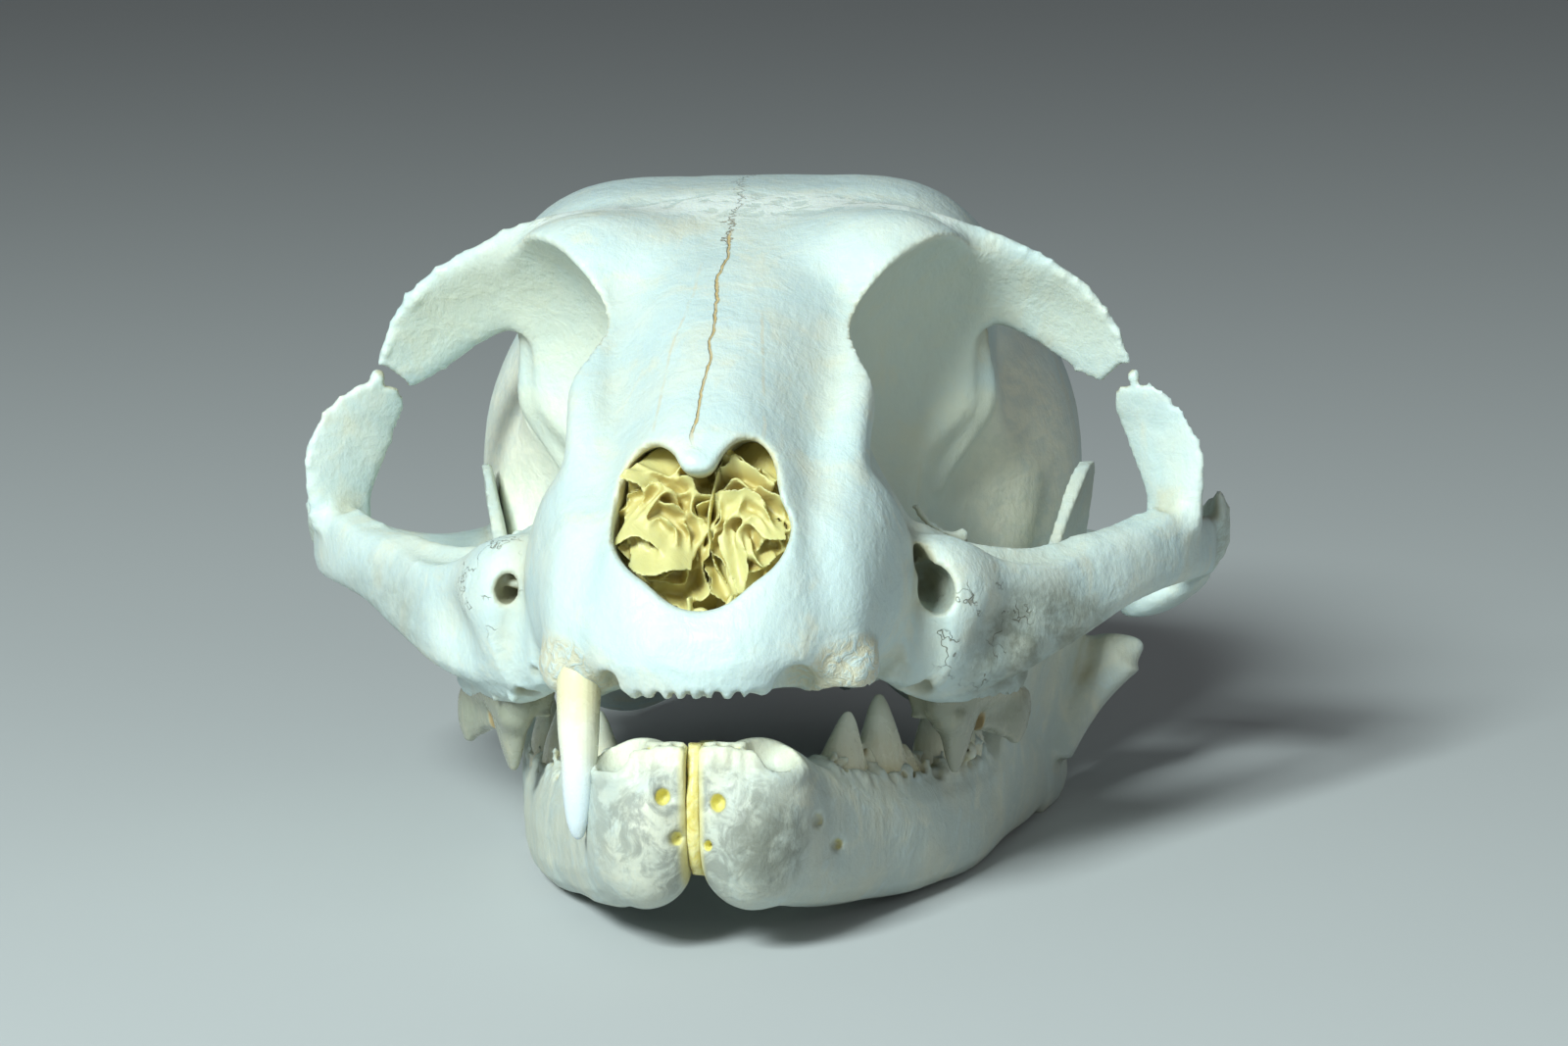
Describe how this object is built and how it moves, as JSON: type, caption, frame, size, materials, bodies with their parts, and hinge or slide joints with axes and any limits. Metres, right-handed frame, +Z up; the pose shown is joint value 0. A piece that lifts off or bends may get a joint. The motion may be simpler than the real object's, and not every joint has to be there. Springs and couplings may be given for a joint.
{
  "type": "cat skull",
  "caption": "Skull of an adult domestic cat with its loose lower jaw nearly closed, leaning back a little on the lower edges of the jaw bones.",
  "frame": {"origin": "centre of the bounding box's bottom face, on the floor that the jaw stands on", "axes": "+X to the animal's left, +Y from the nose to the back of the head, +Z up"},
  "size_m": [0.0666, 0.0892, 0.046],
  "materials": {
    "bone": "matte",
    "jaw_bone": "matte",
    "enamel": "gloss",
    "thin_bone": "satin",
    "cartilage": "matte"
  },
  "bodies": {
    "root": {"snout": "bone", "face": "bone", "braincase": "bone", "back_of_skull": "bone", "cheekbone_left": "bone", "cheekbone_right": "bone", "arch_root_left": "bone", "arch_root_right": "bone", "orbit_bar_left": "bone", "orbit_bar_right": "bone", "brow_process_left": "bone", "brow_process_right": "bone", "nose_scrolls_left": "thin_bone", "nose_scrolls_right": "thin_bone", "nose_wall": "thin_bone", "lower_jaw_left": "jaw_bone", "lower_jaw_right": "jaw_bone", "chin_pad": "cartilage"}
  },
  "joints": []
}
